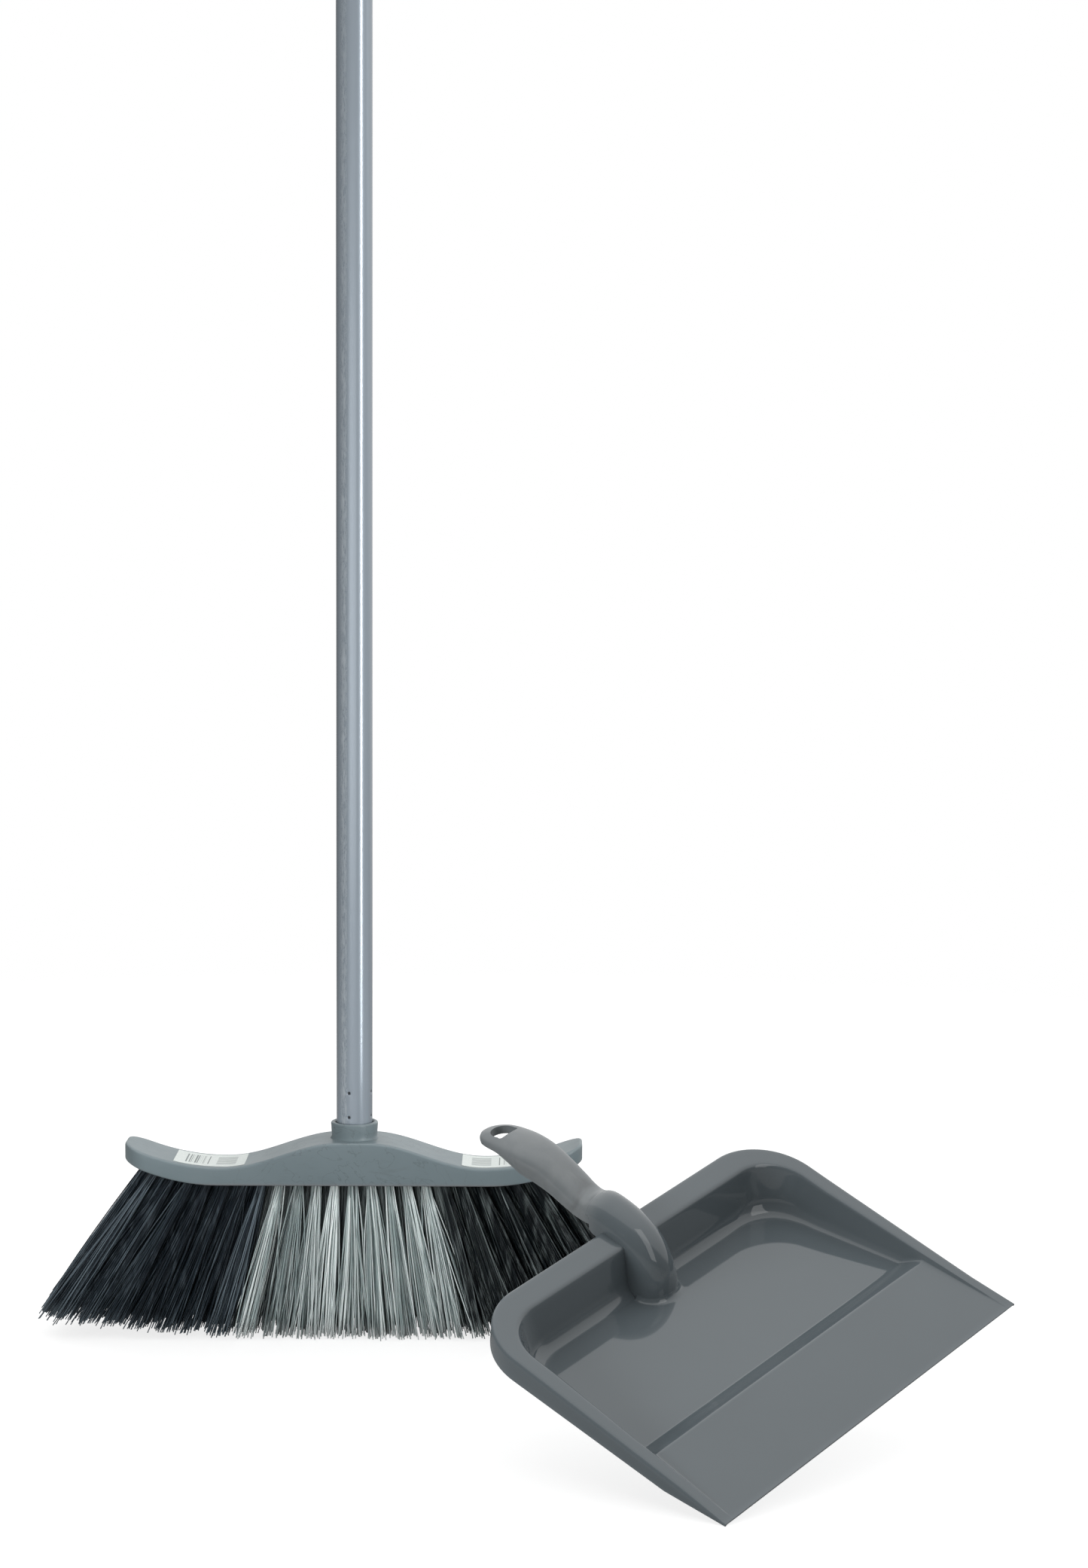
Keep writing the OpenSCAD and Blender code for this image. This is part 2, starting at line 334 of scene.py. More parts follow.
class Shader(Nodes):
    """The nodes of one material."""

    def __init__(self, name):
        self.material = bpy.data.materials.new(name)
        self.material.use_nodes = True
        super().__init__(self.material.node_tree)
        self.bsdf = self.tree.nodes["Principled BSDF"]
        self.coords = self.node("TexCoord").outputs["Object"]

    def scaled(self, x, y, z):
        """The object's coordinates, stretched by a factor along each axis."""
        return self.node("Mapping", Vector=self.coords, Scale=(x, y, z)).outputs["Vector"]

    def noise(self, scale, detail=4.0, roughness=0.55, vector=None, distortion=0.0):
        node = self.node("TexNoise", Scale=scale, Detail=detail, Roughness=roughness,
                         Distortion=distortion, Vector=vector or self.coords)
        return node.outputs["Fac"]

    def axis(self, name):
        """One coordinate of the object, in millimetres."""
        split = self.node("SeparateXYZ", Vector=self.coords)
        return self.math("DIVIDE", split.outputs[name], MM)

    def bump(self, height, strength, distance_mm, normal=None):
        node = self.node("Bump", Height=height, Strength=strength, Distance=distance_mm * MM,
                         Normal=normal)
        return node.outputs["Normal"]

    def attribute(self, name):
        """A value stored on the mesh, or 0 where there is none."""
        node = self.node("Attribute")
        node.attribute_name = name
        return node.outputs["Fac"]

    def edges(self):
        """High on convex edges, 0.5 on flat faces."""
        return self.node("NewGeometry").outputs["Pointiness"]

    def finish(self, colour, roughness, normal=None, **others):
        """Sets up the surface and hands over the finished material."""
        self.fill(self.bsdf, dict(Base_Color=colour, Roughness=roughness, Normal=normal))
        self.fill(self.bsdf, others)
        return self.material


def moulded_plastic(name, colour, spread=0.06, roughness=0.3, edge_lightening=0.25, grain=0.1):
    """Injection-moulded plastic: faint clouding, lightened edges, fine grain, light rubs.

    Where the mesh has a "grip" value the surface is duller, painted lighter as if
    catching more light, and smudged by hands; faces that look down are duller too.
    """
    s = Shader(name)
    darker = tuple(c * (1 - spread) for c in colour)
    lighter = tuple(c * (1 + spread) for c in colour)
    base = s.ramp(s.noise(9.0, detail=3.0), [(0.3, darker), (0.7, lighter)])
    edge = s.range(s.edges(), 0.515, 0.58, 0.0, edge_lightening)
    base = s.mix(edge, base, tuple(min(1, c * 1.6) for c in colour))
    grip = s.attribute("grip")
    smudge = s.range(s.noise(55.0, detail=5.0, distortion=0.8), 0.4, 0.7, 0.0, 0.3)
    # painted light with smudges: the grip's colour is lightened, unevenly through a smudge pattern
    painted_grip_light_and_smudge = s.plus(s.times(grip, 0.58), s.times(grip, smudge))
    base = s.mix(painted_grip_light_and_smudge, base, (0.172, 0.186, 0.191))
    smear = s.range(s.noise(36.0, detail=4.0, distortion=1.5), 0.56, 0.7, 0.0, 0.45)
    base = s.mix(s.times(grip, smear), base, (0.085, 0.09, 0.092))
    rubs = s.noise(25.0, detail=8.0, roughness=0.65)
    rough = s.plus(roughness, s.range(rubs, 0.5, 0.8, 0.0, 0.05))
    rough = s.plus(rough, s.times(grip, 0.26))
    facing = s.node("TexCoord").outputs["Normal"]
    upright = s.node("SeparateXYZ", Vector=facing).outputs["Z"]
    rough = s.plus(rough, s.range(upright, -0.2, -0.6, 0.0, 0.3))
    normal = s.bump(s.noise(1500.0, detail=2.0), grain, 0.02)
    normal = s.bump(s.noise(22.0, detail=1.0), grain, 0.25, normal)
    return s.finish(base, rough, normal, IOR=1.6)


def head_plastic():
    """The block's grey plastic, with thin swirled flow marks around its middle and a painted
    highlight along its convex edges.
    """
    s = Shader("head_plastic")
    cloud = s.noise(16.0, detail=4.0, distortion=0.4)
    base = s.ramp(cloud, [(0.3, (0.130, 0.168, 0.182)), (0.7, (0.148, 0.188, 0.203))])
    swirl = s.noise(26.0, detail=5.0, roughness=0.5, distortion=2.6, vector=s.scaled(1, 1, 1.6))
    line = s.absolute(s.math("SUBTRACT", swirl, 0.5))
    line = s.range(line, 0.0, 0.012, 1.0, 0.0)
    near_middle = s.range(s.absolute(s.axis("X")), 28, 95, 0.55, 0.0)
    flow = s.times(line, near_middle)
    base = s.mix(flow, base, (0.075, 0.092, 0.098))
    smear = s.noise(34.0, detail=5.0, roughness=0.6, distortion=1.2, vector=s.scaled(1, 1, 2.2))
    smear = s.times(s.range(smear, 0.56, 0.68), near_middle)
    base = s.mix(s.times(smear, 0.6), base, (0.095, 0.115, 0.122))
    # painted highlight: convex edges, such as the top front edge, are lightened
    edge = s.range(s.edges(), 0.515, 0.56, 0.0, 0.35)
    base = s.mix(edge, base, (0.24, 0.27, 0.275))
    low = s.range(s.axis("Z"), HEAD_BASE, HEAD_BASE + 2.0, 0.35, 0.0)
    base = s.mix(low, base, (0.27, 0.21, 0.215))
    scuff = s.noise(40.0, detail=7.0, roughness=0.65)
    rough = s.plus(0.34, s.range(scuff, 0.4, 0.75, 0.0, 0.08))
    normal = s.bump(s.noise(1300.0, detail=2.0), 0.12, 0.04)
    normal = s.bump(s.noise(30.0, detail=3.0, distortion=1.0), 0.15, 0.6, normal)
    return s.finish(base, rough, normal, IOR=1.49)


def pole_paint():
    """Silver-grey paint on steel, with a scratched streak down one side, and painted shade on the
    tube's left and right flanks.
    """
    s = Shader("pole_paint")
    x, y = s.axis("X"), s.axis("Y")
    cloud = s.noise(5.0, detail=3.0, vector=s.scaled(8, 8, 1))
    base = s.ramp(cloud, [(0.3, (0.285, 0.332, 0.378)), (0.7, (0.305, 0.352, 0.398))])
    streak = s.range(s.absolute(s.plus(x, 6.0)), 0.8, 2.4, 1.0, 0.0)
    front = s.range(y, -2.0, -5.0, 0.0, 1.0)
    low = s.range(s.axis("Z"), 1000, 500, 0.25, 1.0)
    rubs = s.noise(420.0, detail=6.0, roughness=0.75, vector=s.scaled(2, 2, 0.35))
    rub = s.times(s.times(streak, front), s.range(rubs, 0.42, 0.62))
    rub = s.times(rub, low)
    base = s.mix(s.times(rub, 0.55), base, (0.58, 0.63, 0.66))
    # painted shade: the tube's left and right flanks are darkened
    rim = s.range(s.absolute(x), 8.4, 10.8, 0.0, 0.55)
    base = s.mix(rim, base, (0.15, 0.18, 0.21))
    scratch = s.noise(300.0, detail=3.0, vector=s.scaled(8, 8, 0.08))
    base = s.mix(s.range(scratch, 0.68, 0.74, 0.0, 0.25), base, (0.42, 0.47, 0.49))
    across = s.node("CombineXYZ", X=x, Y=y).outputs["Vector"]
    dent = s.range(s.vector("LENGTH", across), POLE_R - 0.12, POLE_R - 0.4)
    base = s.mix(dent, base, (0.03, 0.035, 0.04))
    rough = s.plus(0.24, s.times(rub, 0.2))
    rough = s.plus(rough, s.range(cloud, 0.3, 0.7, 0.0, 0.02))
    drawn = s.noise(700.0, detail=2.0, vector=s.scaled(1, 1, 0.02))
    normal = s.bump(drawn, 0.04, 0.02)
    return s.finish(base, rough, normal, Metallic=0.35, Coat_Weight=0.35,
                    Coat_Roughness=0.06)


# Shades of the filaments, from the darkest to the palest
BLACK = [(0.0, (0.006, 0.009, 0.013)), (0.6, (0.016, 0.025, 0.034)), (1.0, (0.15, 0.19, 0.22))]
# black tufts of the right side: paler grey-green strands, partly their own colour and partly painted
# highlight from light on that side
BLACK_GREY_PAINTED_HIGHLIGHT = [(0.0, (0.003, 0.004, 0.006)), (0.68, (0.011, 0.016, 0.019)), (1.0, (0.34, 0.40, 0.40))]
SILVER = [(0.0, (0.07, 0.095, 0.10)), (0.4, (0.35, 0.43, 0.43)), (1.0, (0.94, 1.0, 0.99))]
# painted shade: a darker copy of the silver, for the middle zone's inner rows
SILVER_PAINTED_SHADE = [(0.0, (0.02, 0.026, 0.028)), (0.5, (0.10, 0.12, 0.124)), (1.0, (0.42, 0.48, 0.48))]


def bristle_material(name, stops):
    """Extruded filaments: each has its own shade of colour, the tips are a little paler, and painted
    shade darkens them near the roots.
    """
    s = Shader(name)
    along = s.attribute("along")
    base = s.ramp(s.attribute("shade"), stops)
    streak = s.noise(220.0, detail=2.0, vector=s.scaled(1, 1, 0.15))
    base = s.mix(s.range(streak, 0.5, 0.75, 0.0, 0.35), base, stops[-1][1])
    tip = s.range(along, 0.9, 1.0, 0.0, 0.25)
    base = s.mix(tip, base, tuple(min(1, c * 1.8 + 0.02) for c in stops[-1][1]))
    # painted shade: each filament is darkened near its root, under the block
    root = s.range(along, 0.0, 0.12, 0.45, 0.0)
    base = s.mix(root, base, (0.01, 0.012, 0.014))
    rough = s.plus(0.38, s.range(streak, 0.3, 0.7, 0.0, 0.12))
    normal = s.bump(s.noise(2500.0, detail=1.0, vector=s.scaled(1, 1, 0.2)), 0.2, 0.02)
    return s.finish(base, rough, normal, IOR=1.5)


def label_paper():
    """White paper with generic printed bars and a grey block, no lettering."""
    s = Shader("label_paper")
    fibre = s.noise(800.0, detail=4.0)
    paper = s.ramp(fibre, [(0.3, (0.54, 0.58, 0.56)), (0.7, (0.62, 0.66, 0.64))])
    x = s.absolute(s.axis("X"))
    y = s.axis("Y")
    along = s.node("CombineXYZ", X=x).outputs["Vector"]
    bars = s.noise(0.9, detail=1.0, vector=along)
    bar = s.range(bars, 0.50, 0.53)
    across = s.range(s.absolute(y), 11.0, 11.4, 1.0, 0.0)
    in_bars = s.times(s.range(x, 88.0, 88.4), s.range(x, 103.0, 103.4, 1.0, 0.0))
    bar = s.times(s.times(bar, across), in_bars)
    in_block = s.times(s.range(x, 72.0, 72.4), s.range(x, 84.0, 84.4, 1.0, 0.0))
    lines = s.math("SINE", s.times(y, 1.6))
    block = s.times(in_block, s.range(lines, -0.55, -0.35))
    block = s.times(block, across)
    colour = s.mix(s.times(bar, 0.85), paper, (0.10, 0.12, 0.12))
    colour = s.mix(s.times(block, 0.7), colour, (0.20, 0.23, 0.23))
    crease = s.noise(90.0, detail=3.0, distortion=0.6)
    normal = s.bump(crease, 0.25, 0.15)
    normal = s.bump(fibre, 0.15, 0.03, normal)
    return s.finish(colour, s.range(crease, 0.3, 0.7, 0.45, 0.6), normal)


def drawn_steel():
    """Bright flat wire with drawing lines along it."""
    s = Shader("anchor_wire_look")
    lines = s.noise(900.0, detail=3.0, vector=s.scaled(0.1, 1, 1))
    base = s.ramp(lines, [(0.3, (0.42, 0.42, 0.41)), (0.7, (0.58, 0.58, 0.57))])
    normal = s.bump(lines, 0.2, 0.03)
    return s.finish(base, s.range(lines, 0.3, 0.7, 0.2, 0.4), normal, Metallic=1.0)


# ---------------- broom block

def block_top(x):
    """Height of the block's upper face: a flat middle, two dips and rising wings."""
    a = np.abs(x)
    middle = (HEAD_TOP + HEAD_BASE + DIP_HEIGHT) / 2
    half = (HEAD_TOP - HEAD_BASE - DIP_HEIGHT) / 2
    wave = middle + half * np.cos(math.pi * (a - PLATEAU_HALF) / (DIP_X - PLATEAU_HALF))
    wing = HEAD_BASE + DIP_HEIGHT + TOP_WING_CURVE * (a - DIP_X) ** 2
    return np.where(a < PLATEAU_HALF, HEAD_TOP, np.where(a < DIP_X, wave, wing))


def block_base(x):
    return HEAD_BASE + BASE_WING_CURVE * np.maximum(0, np.abs(x) - WING_START) ** 2


def block_ring(inset, per_side=70, per_corner=9, per_end=8):
    """Plan outline of the block, moved inwards; always the same number of points."""
    r = max(HEAD_CORNER_R - inset, 0.0)
    corner_x = HEAD_HALF - inset - r
    corner_y = HEAD_HALF_DEPTH - inset - r
    points = []
    for quarter, (sx, sy) in enumerate(((1, -1), (1, 1), (-1, 1), (-1, -1))):
        start = -90 + 90 * quarter
        turn = np.radians(np.linspace(start, start + 90, per_corner + 1))
        arc = np.column_stack([sx * corner_x + r * np.cos(turn),
                               sy * corner_y + r * np.sin(turn)])
        points.append(arc)
        at_end = quarter % 2 == 0
        last = arc[-1]
        goal = last * ((1, -1) if at_end else (-1, 1))
        steps = per_end if at_end else per_side
        t = np.linspace(0, 1, steps + 1)[1:-1, None]
        points.append(last + (goal - last) * t)
    return np.vstack(points)


def block_rim(inset, height):
    """A ring of the block, with its height worked out from its places along the block."""
    plan = block_ring(inset)
    return np.column_stack([plan, height(plan[:, 0])])


def build_head():
    """The block as closed rings from the middle of the top round to the middle of the base."""
    rings = [block_rim(inset, block_top) for inset in (HEAD_HALF_DEPTH, 18, 15, 12, 9, 6, 4)]
    for turn in np.radians(np.linspace(0, 90, 7)):
        inset = TOP_EDGE_R * (1 - math.sin(turn))
        drop = TOP_EDGE_R * (1 - math.cos(turn))
        rings.append(block_rim(inset, lambda x: block_top(x) - drop))
    for share in (0.35, 0.7):
        rings.append(block_rim(0, lambda x: side_height(x, share)))
    for turn in np.radians(np.linspace(0, 90, 5)):
        inset = BASE_EDGE_R * (1 - math.cos(turn))
        lift = BASE_EDGE_R * (1 - math.sin(turn))
        rings.append(block_rim(inset, lambda x: block_base(x) + lift))
    rings += [block_rim(inset, block_base) for inset in (4, 8, 13, 17, HEAD_HALF_DEPTH)]
    faces = grid_faces(len(rings), len(rings[0]), closed=True)
    head = make_piece("broom_head_block", np.vstack(rings), faces)
    combine(head, lathe("collar", collar_profile(), 128), "UNION")
    combine(head, lathe("socket", socket_profile(), 128), "DIFFERENCE")
    tidy_mesh(head, 38)
    return head


def side_height(x, share):
    """A height on the block's upright side, as a share of the way down."""
    high = block_top(x) - TOP_EDGE_R
    low = block_base(x) + BASE_EDGE_R
    return high + (low - high) * share


def collar_profile():
    """Outline of the pole collar: a flared foot, a slight waist and a rounded rim."""
    r, rim_r, flare, waist = COLLAR_R, 1.1, 0.9, 0.5
    turns = np.radians(np.linspace(0, 90, 6))
    rim = [(r - rim_r + rim_r * math.cos(t), COLLAR_TOP - rim_r + rim_r * math.sin(t))
           for t in turns]
    inside = [(0, HEAD_BASE + 6), (r - 2, HEAD_BASE + 6), (r + flare, HEAD_BASE + 12)]
    foot = [(r + flare, HEAD_TOP - 1.0), (r - 0.2, HEAD_TOP + 0.5), (r - waist, HEAD_TOP + 1.4),
            (r - 0.3, HEAD_TOP + 4)]
    return inside + foot + rim + [(0, COLLAR_TOP)]


def socket_profile():
    """Outline of the hole the pole screws into: a wide mouth above a threaded bore."""
    turns, pitch, core, crest, gap = 3, 4.0, 8.8, 10.0, 0.3
    bottom = HEAD_BASE + 14
    points = [(0, bottom - gap), (core + gap, bottom - gap)]
    for i in range(turns):
        z = bottom + 1.5 + i * pitch
        points += [(core + gap, z - gap), (crest + gap, z + 0.8 - gap),
                   (crest + gap, z + 1.4 + gap), (core + gap, z + 2.2 + gap)]
    mouth = TUBE_END - gap
    points += [(core + gap, mouth), (SOCKET_R, mouth), (SOCKET_R, COLLAR_TOP - 0.7),
               (SOCKET_R + 0.7, COLLAR_TOP), (SOCKET_R + 0.7, COLLAR_TOP + 2), (0, COLLAR_TOP + 2)]
    return points


# ---------------- bristles

def tufts_in(row):
    return 23 if row % 2 == 1 else 24


def tuft_x(row, i):
    return (i - (tufts_in(row) - 1) / 2) * TUFT_PITCH


def row_y(row):
    return (row - (ROWS + 1) / 2) * ROW_PITCH


def tip_height(x):
    return TIP_LIFT * (x / (HEAD_HALF * FAN_SIDE - 10)) ** 2


def zone_of(x):
    if abs(x) < SILVER_HALF:
        return "silver"
    return "left" if x < 0 else "right"


def filament_lines(row, i, rng):
    """Centre lines and shades of one tuft's filaments, which gather into small wisps."""
    x0 = tuft_x(row, i)
    root = np.array([x0, row_y(row), block_base(x0)])
    end_x = x0 * FAN_SIDE
    end = np.array([end_x, row_y(row) * FAN_DEPTH, tip_height(end_x)])
    end[:2] += rng.normal(0, TUFT_SCATTER)
    n = FILAMENTS
    turn = rng.uniform(0, 2 * math.pi, n)
    reach = np.sqrt(rng.uniform(0, 1, n))
    disc = np.column_stack([reach * np.cos(turn), reach * np.sin(turn)])
    wisps = rng.normal(0, WISP_SPREAD, (WISPS, 2))
    member = rng.integers(0, WISPS, n)
    tone = rng.beta(1.3, 1.3, WISPS)[member] * 0.7 + rng.random(n) * 0.3
    tip_shift = disc * TIP_SPREAD + wisps[member] * 0.9 + rng.normal(0, 0.8, (n, 2))
    stray = rng.random(n) < STRAY_SHARE
    tip_shift[stray] += rng.normal(0, STRAY_SPREAD, (stray.sum(), 2))
    length = 1 + rng.normal(0, 0.012, n) - rng.exponential(0.014, n)
    start = np.column_stack([root[:2] + disc * TUFT_ROOT_R, np.full(n, root[2] + ROOT_SUNK)])
    reach_limit = np.array([TIPS_HALF_WIDTH, TIPS_HALF_DEPTH]) - rng.uniform(0, 3, (n, 2))
    tips = np.clip(end[:2] + tip_shift, -reach_limit, reach_limit)
    finish = np.column_stack([tips, np.full(n, end[2])])
    t = np.linspace(0, 1, SEGMENTS + 1)[None, :, None]
    lines = start[:, None] + (finish - start)[:, None] * (t * length[:, None, None])
    lines[:, :, :2] += rng.normal(0, FILAMENT_BOW, (n, 1, 2)) * np.sin(math.pi * t)
    above_floor = rng.uniform(0.25, 0.85, (n, 1))
    lines[:, :, 2] = np.maximum(lines[:, :, 2], above_floor)
    lines[:, 0, 2] = root[2] + ROOT_SUNK
    return lines, tone


def filament_mesh(lines):
    """Thin closed prisms along centre lines, with how far along each point is."""
    n, count, _ = lines.shape
    along = np.gradient(lines, axis=1)
    along /= np.linalg.norm(along, axis=2, keepdims=True)
    side = np.cross(along, np.array([0.0, 1.0, 0.0]))
    side /= np.linalg.norm(side, axis=2, keepdims=True)
    other = np.cross(along, side)
    radius = np.linspace(ROOT_R, TIP_R, count)[None, :, None]
    rings = []
    for k in range(SIDES):
        turn = 2 * math.pi * k / SIDES
        rings.append(lines + radius * (math.cos(turn) * side + math.sin(turn) * other))
    verts = np.stack(rings, axis=2).reshape(-1, 3)
    one = grid_faces(count, SIDES, closed=True)
    one.append(tuple(range(SIDES)))
    one.append(tuple((count - 1) * SIDES + k for k in range(SIDES)))
    faces = []
    for i in range(n):
        offset = i * count * SIDES
        faces += [tuple(offset + v for v in face) for face in one]
    share = np.tile(np.repeat(np.linspace(0, 1, count), SIDES), n)
    return verts, faces, share


def build_bristles(row, zone, rng):
    """All tufts of one colour in one row, as separate filaments."""
    lines = []
    shades = []
    for i in range(tufts_in(row)):
        if zone_of(tuft_x(row, i)) == zone:
            tuft, tone = filament_lines(row, i, rng)
            lines.append(tuft)
            shades.append(np.clip(tone + rng.normal(0, 0.08), 0, 1))
    verts, faces, share = filament_mesh(np.vstack(lines))
    name = f"bristle_filaments_{zone}_row_{row}"
    mesh = bpy.data.meshes.new(name)
    mesh.from_pydata((verts * MM).tolist(), [], faces)
    mesh.shade_smooth()
    store(mesh, "shade", np.repeat(np.concatenate(shades), (SEGMENTS + 1) * SIDES))
    store(mesh, "along", share)
    obj = bpy.data.objects.new(name, mesh)
    bpy.context.scene.collection.objects.link(obj)
    return obj


# ---------------- labels

def build_label(side):
    """A thin sheet that follows the block's dip, with its corners slightly lifted."""
    half_depth = label_high[1] - 0.4
    xs = np.linspace(label_low[0] + 0.3, label_high[0] - 0.3, 30)
    ys = np.linspace(-half_depth, half_depth, 22)
    middle = (xs[0] + xs[-1]) / 2
    verts = []
    for above_block in (0.03, 0.2):
        for x in xs:
            for y in ys:
                to_corner = abs(x - middle) / (xs[-1] - middle) + abs(y) / half_depth
                curl = 0.35 * max(0, to_corner - 1.55) ** 2
                pulled_in = 1 - 0.048 * max(0, to_corner - 1.85)
                px = middle + (x - middle) * pulled_in
                verts.append((side * px, y * pulled_in, block_top(px) + above_block + curl))
    rows, columns = len(xs), len(ys)
    top = rows * columns
    faces = grid_faces(rows, columns)
    faces += [tuple(reversed(f)) for f in grid_faces(rows, columns, start=top)]
    edge = list(range(columns))
    edge += [i * columns + columns - 1 for i in range(1, rows)]
    edge += [(rows - 1) * columns + j for j in range(columns - 2, -1, -1)]
    edge += [i * columns for i in range(rows - 2, 0, -1)]
    for a, b in zip(edge, edge[1:] + edge[:1]):
        faces.append((a, b, top + b, top + a))
    return make_piece("paper_label_" + ("right" if side > 0 else "left"), verts, faces, 50)


# ---------------- pole and hanging cap

def build_pole(around=240, wall=0.6, bevel=0.2):
    """The painted tube, finely meshed where it is staked to the plug inside."""
    stake_heights = (HEAD_TOP + 14, HEAD_TOP + 29)
    first_stake = -105
    dent_depth, dent_r = 0.55, 0.85
    dish_depth, dish_r = 0.10, 2.4
    zs = list(np.linspace(TUBE_END + 0.8, TUBE_TOP - 0.8, 46))
    for z in stake_heights:
        zs = [v for v in zs if abs(v - z) > 6]
        zs += list(np.linspace(z - 4.2, z + 4.2, 25))
    zs = np.array(sorted(zs))
    angles = np.linspace(0, 2 * math.pi, around, endpoint=False)
    radius = np.full((len(zs), around), POLE_R)
    for z in stake_heights:
        for i in range(4):
            away = (angles - math.radians(first_stake + 90 * i) + math.pi) % (2 * math.pi) - math.pi
            d = np.sqrt((away[None, :] * POLE_R) ** 2 + (zs[:, None] - z) ** 2)
            radius -= dent_depth * np.exp(-(d / dent_r) ** 2)
            radius -= dish_depth * np.exp(-(d / dish_r) ** 2)
    inner = POLE_R - wall
    bottom = [(inner, TUBE_END + bevel), (inner + bevel, TUBE_END),
              (POLE_R - bevel, TUBE_END), (POLE_R, TUBE_END + bevel)]
    top = [(POLE_R, TUBE_TOP - bevel), (POLE_R - bevel, TUBE_TOP),
           (inner + bevel, TUBE_TOP), (inner, TUBE_TOP - bevel)]
    outline = bottom + list(zip(radius, zs)) + top + bottom[:1]
    rings = [circle(r, z, around) for r, z in outline]
    faces = grid_faces(len(rings), around, closed=True)
    return make_piece("pole_tube_painted", np.vstack(rings), faces, 40)


def build_cap():
    """Hanging cap: a plug, a rounded brim and a flattened loop with a hole."""
    z = TUBE_TOP
    plug_r = POLE_R - 0.65
    brim_r = POLE_R + 0.6
    profile = [(0, z - 22), (plug_r - 1, z - 22), (plug_r, z - 21), (plug_r, z),
               (brim_r - 0.4, z + 0.02), (brim_r, z + 0.5), (brim_r, z + 2.0),
               (brim_r - 0.4, z + 2.7), (brim_r - 1.2, z + 3.0), (0, z + 3.0)]
    loop_z = z + 17
    half = 4.5
    hole_r, mouth_r, mouth_start = 4.5, 8.5, half - 0.9
    hole_profile = [(0, -8), (mouth_r, -8), (hole_r, -mouth_start), (hole_r, mouth_start),
                    (mouth_r, 8), (0, 8)]
    hole = lathe("hole", hole_profile, 64)
    place = Matrix.Translation((0, 0, loop_z * MM)) @ Matrix.Rotation(math.pi / 2, 4, "X")
    hole.data.transform(place)
    cap = lathe("pole_cap_moulded", profile)
    combine(cap, cap_loop(z, loop_z, half), "UNION")
    combine(cap, hole, "DIFFERENCE")
    tidy_mesh(cap, 40)
    return cap


def cap_loop(z, loop_z, half, loop_r=11):
    """The cap's flat loop with rounded edges, standing on the brim."""
    turns = np.radians(np.linspace(-40, 220, 41))
    outline = [(loop_r * math.cos(a), loop_z + loop_r * math.sin(a)) for a in turns]
    outline += [(-9.6, z + 7), (-10.2, z + 1.5), (10.2, z + 1.5), (9.6, z + 7)]
    outline = np.array(outline)
    centre = np.array([0, loop_z - 3])
    edge = [(0.0, half), (0.55, half), (0.88, half), (0.955, half - 0.35), (1.0, half - 1.3)]
    rings = []
    for share, y in [(share, -y) for share, y in edge] + edge[::-1]:
        ring = centre + (outline - centre) * share
        rings.append(np.column_stack([ring[:, 0], np.full(len(ring), y), ring[:, 1]]))
    faces = grid_faces(len(rings), len(outline), closed=True)
    return make_piece("loop", np.vstack(rings), faces)


# ---------------- dustpan

def rim_z(y):
    """Height of the sloping rim plane."""
    return LIP_THICK + (PAN_HEIGHT - LIP_THICK) * y / PAN_LEN


def skirt_z(y):
    """Height of the skirt's lower edge."""
    rise = PAN_HEIGHT - SKIRT_DEPTH
    return rise * np.clip((y - SKIRT_START) / (PAN_LEN - SKIRT_START), 0, 1)


def floor_z(y):
    """Height of the basin's floor: a ramp from the lip, a rounded drop, then flat."""
    ramp = LIP_THICK + (RAMP_HEIGHT - LIP_THICK) * np.minimum(y, RAMP_LEN) / RAMP_LEN
    slope = np.clip((y - RAMP_LEN) / RAMP_DROP, 0, 1)
    drop = (RAMP_HEIGHT - FLOOR_Z) * (0.75 * slope + 0.25 * smoothstep(slope))
    return ramp - drop


def side_places():
    """Places along the straight side, closer together where the ramp drops."""
    ramp = np.linspace(0, RAMP_LEN - 3, 18)
    drop = np.linspace(RAMP_LEN - 2, RAMP_LEN + RAMP_DROP + 1, 20)
    rest = np.linspace(RAMP_LEN + RAMP_DROP + 4, CORNER_START, 16)
    return np.concatenate([ramp, drop, rest])


def corner_curve(reach_x, reach_y, r, count=26):
    """Points at equal steps, straight on from the side and then round a rear corner."""
    turn = np.radians(np.linspace(0, 90, 40))
    arc = np.column_stack([reach_x - r + r * np.cos(turn), reach_y - r + r * np.sin(turn)])
    line = np.vstack([[reach_x, CORNER_START], arc])
    steps = np.linalg.norm(np.diff(line, axis=0), axis=1)
    run = np.concatenate([[0], np.cumsum(steps)])
    goal = np.linspace(0, run[-1], count + 1)[1:]
    return np.column_stack([np.interp(goal, run, line[:, 0]), np.interp(goal, run, line[:, 1])])


def pan_paths():
    """Matching points on the outer edge, the opening and the floor's edge, lip to lip."""
    along = side_places()
    share = along / along[-1]
    half = PAN_W / 2
    lip_open = half - LIP_SIDE
    lip_floor = lip_open - 1.5
    open_x = half - RIM_SIDE
    floor_x = open_x - WALL_LEAN
    rear_open = PAN_LEN - RIM_REAR
    sides = (np.full(len(along), half),
             lip_open + (open_x - lip_open) * share,
             lip_floor + (floor_x - lip_floor) * share)
    corners = (corner_curve(half, PAN_LEN, PAN_CORNER_R),
               corner_curve(open_x, rear_open, OPENING_R),
               corner_curve(floor_x, rear_open - WALL_LEAN, FLOOR_R))
    rear = np.linspace(1, -1, REAR_STEPS + 1)[1:-1]
    paths = []
    for side, corner in zip(sides, corners):
        half_path = np.vstack([np.column_stack([side, along]), corner])
        middle = np.column_stack([rear * corner[-1, 0], np.full(len(rear), corner[-1, 1])])
        mirrored = half_path[::-1] * np.array([-1, 1])
        paths.append(np.vstack([half_path, middle, mirrored]))
    return paths, len(half_path)


